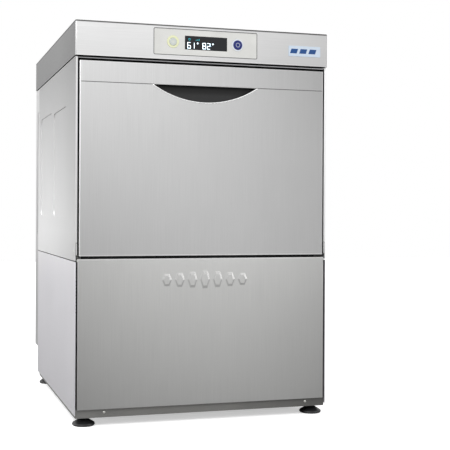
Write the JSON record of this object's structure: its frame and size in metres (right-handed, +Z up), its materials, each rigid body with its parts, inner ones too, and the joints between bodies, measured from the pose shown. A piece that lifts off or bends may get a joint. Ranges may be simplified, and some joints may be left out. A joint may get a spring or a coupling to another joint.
{
  "type": "under-counter glass washer",
  "caption": "Box-shaped stainless under-counter glass washer with a drop-down door, overhanging top cover with control panel, and low levelling feet.",
  "frame": {"origin": "centre of the footprint on the floor", "axes": "+Z up, the door faces -Y, +X to the right of someone facing the door"},
  "size_m": [0.56, 0.62, 0.836],
  "materials": {
    "brushed_cover": "vertical satin brush",
    "chamber_steel": "satin",
    "base_sheet": "satin",
    "hinge_steel": "satin",
    "zinc_fastener": "satin",
    "panel_silver": "satin",
    "display_glass": "gloss",
    "circuit_board": "matte",
    "ring_light": "satin",
    "start_cap": "satin",
    "drain_cap": "satin",
    "badge": "gloss",
    "seal_rubber": "matte",
    "foot_rubber": "satin",
    "black_plastic": "satin",
    "rack_plastic": "satin",
    "boiler_copper": "satin",
    "heater_sheath": "satin",
    "motor_shell": "cast",
    "drain_plastic": "satin",
    "white_plastic": "satin",
    "contactor_plastic": "satin",
    "black_hose": "matte",
    "clear_hose": "satin"
  },
  "bodies": {
    "cabinet": {"top_hood": "brushed_cover", "control_panel": "panel_silver", "display_window": "display_glass", "display_board": "circuit_board", "button_rings": "ring_light", "badge_plate": "badge", "front_frame": "chamber_steel", "door_seal": "seal_rubber", "hinge_brackets": "hinge_steel", "wash_chamber": "chamber_steel", "side_panel_left": "brushed_cover", "side_panel_right": "brushed_cover", "lower_side_panels": "brushed_cover", "lower_front_panel": "brushed_cover", "base_pan": "base_sheet", "foot_nuts": "zinc_fastener", "rear_cover": "brushed_cover", "lower_rear_panel": "base_sheet", "rack_rails": "chamber_steel", "glass_rack": "rack_plastic", "filter_trays": "chamber_steel", "sump_strainer": "chamber_steel", "tank_heater": "heater_sheath", "wash_pump_casing": "black_plastic", "wash_pump_motor": "motor_shell", "wash_riser": "chamber_steel", "lower_spindle": "chamber_steel", "upper_spindle": "chamber_steel", "boiler_shell": "boiler_copper", "boiler_heater": "heater_sheath", "rinse_pump": "black_plastic", "drain_pump": "drain_plastic", "dosing_pumps": "white_plastic", "control_box": "base_sheet", "contactors": "contactor_plastic", "inlet_valve": "white_plastic", "drain_spigot": "drain_plastic", "cable_gland": "black_plastic", "break_tank": "white_plastic", "wash_hoses": "black_hose", "rinse_hoses": "clear_hose", "panel_screws": "hinge_steel", "door_switch": "black_plastic", "door_springs": "zinc_fastener"},
    "door": {"door_outer_panel": "brushed_cover", "door_inner_panel": "chamber_steel", "door_handle_cup": "black_plastic", "door_levers": "hinge_steel", "hinge_pins": "hinge_steel"},
    "start_button": {"start_button": "start_cap"},
    "drain_button": {"drain_button": "drain_cap"},
    "lower_wash_arm": {"lower_wash_arm": "chamber_steel"},
    "lower_rinse_arm": {"lower_rinse_arm": "chamber_steel"},
    "upper_wash_arm": {"upper_wash_arm": "chamber_steel"},
    "upper_rinse_arm": {"upper_rinse_arm": "chamber_steel"},
    "pump_rotor": {"pump_rotor": "hinge_steel"},
    "front_foot_left": {"front_foot_left": "foot_rubber"},
    "front_foot_right": {"front_foot_right": "foot_rubber"},
    "rear_foot_left": {"rear_foot_left": "foot_rubber"},
    "rear_foot_right": {"rear_foot_right": "foot_rubber"}
  },
  "joints": [
    {"name": "door_hinge", "type": "hinge", "parent": "cabinet", "child": "door", "pos_m": [0, -0.299, 0.364], "axis": [1, 0, 0], "range_deg": [0, 90], "stiffness_Nm_per_rad": 3, "deforming": ["door_springs"]},
    {"name": "start_button_press", "type": "slide", "parent": "cabinet", "child": "start_button", "axis": [0, 1, 0], "range_m": [0, 0.0018], "stiffness_N_per_m": 800},
    {"name": "drain_button_press", "type": "slide", "parent": "cabinet", "child": "drain_button", "axis": [0, 1, 0], "range_m": [0, 0.0018], "stiffness_N_per_m": 800},
    {"name": "lower_wash_arm_spin", "type": "hinge", "parent": "cabinet", "child": "lower_wash_arm", "pos_m": [0, -0.017, 0.3655], "axis": [0, 0, 1], "continuous": true},
    {"name": "lower_rinse_arm_spin", "type": "hinge", "parent": "cabinet", "child": "lower_rinse_arm", "pos_m": [0, -0.017, 0.378], "axis": [0, 0, 1], "continuous": true},
    {"name": "upper_wash_arm_spin", "type": "hinge", "parent": "cabinet", "child": "upper_wash_arm", "pos_m": [0, -0.017, 0.7215], "axis": [0, 0, 1], "continuous": true},
    {"name": "upper_rinse_arm_spin", "type": "hinge", "parent": "cabinet", "child": "upper_rinse_arm", "pos_m": [0, -0.017, 0.707], "axis": [0, 0, 1], "continuous": true},
    {"name": "pump_rotor_spin", "type": "hinge", "parent": "cabinet", "child": "pump_rotor", "pos_m": [0.03, 0.07, 0.118], "axis": [1, 0, 0], "continuous": true},
    {"name": "front_foot_left_screw", "type": "slide", "parent": "cabinet", "child": "front_foot_left", "axis": [0, 0, -1], "range_m": [0, 0.02]},
    {"name": "front_foot_right_screw", "type": "slide", "parent": "cabinet", "child": "front_foot_right", "axis": [0, 0, -1], "range_m": [0, 0.02]},
    {"name": "rear_foot_left_screw", "type": "slide", "parent": "cabinet", "child": "rear_foot_left", "axis": [0, 0, -1], "range_m": [0, 0.02]},
    {"name": "rear_foot_right_screw", "type": "slide", "parent": "cabinet", "child": "rear_foot_right", "axis": [0, 0, -1], "range_m": [0, 0.02]}
  ]
}
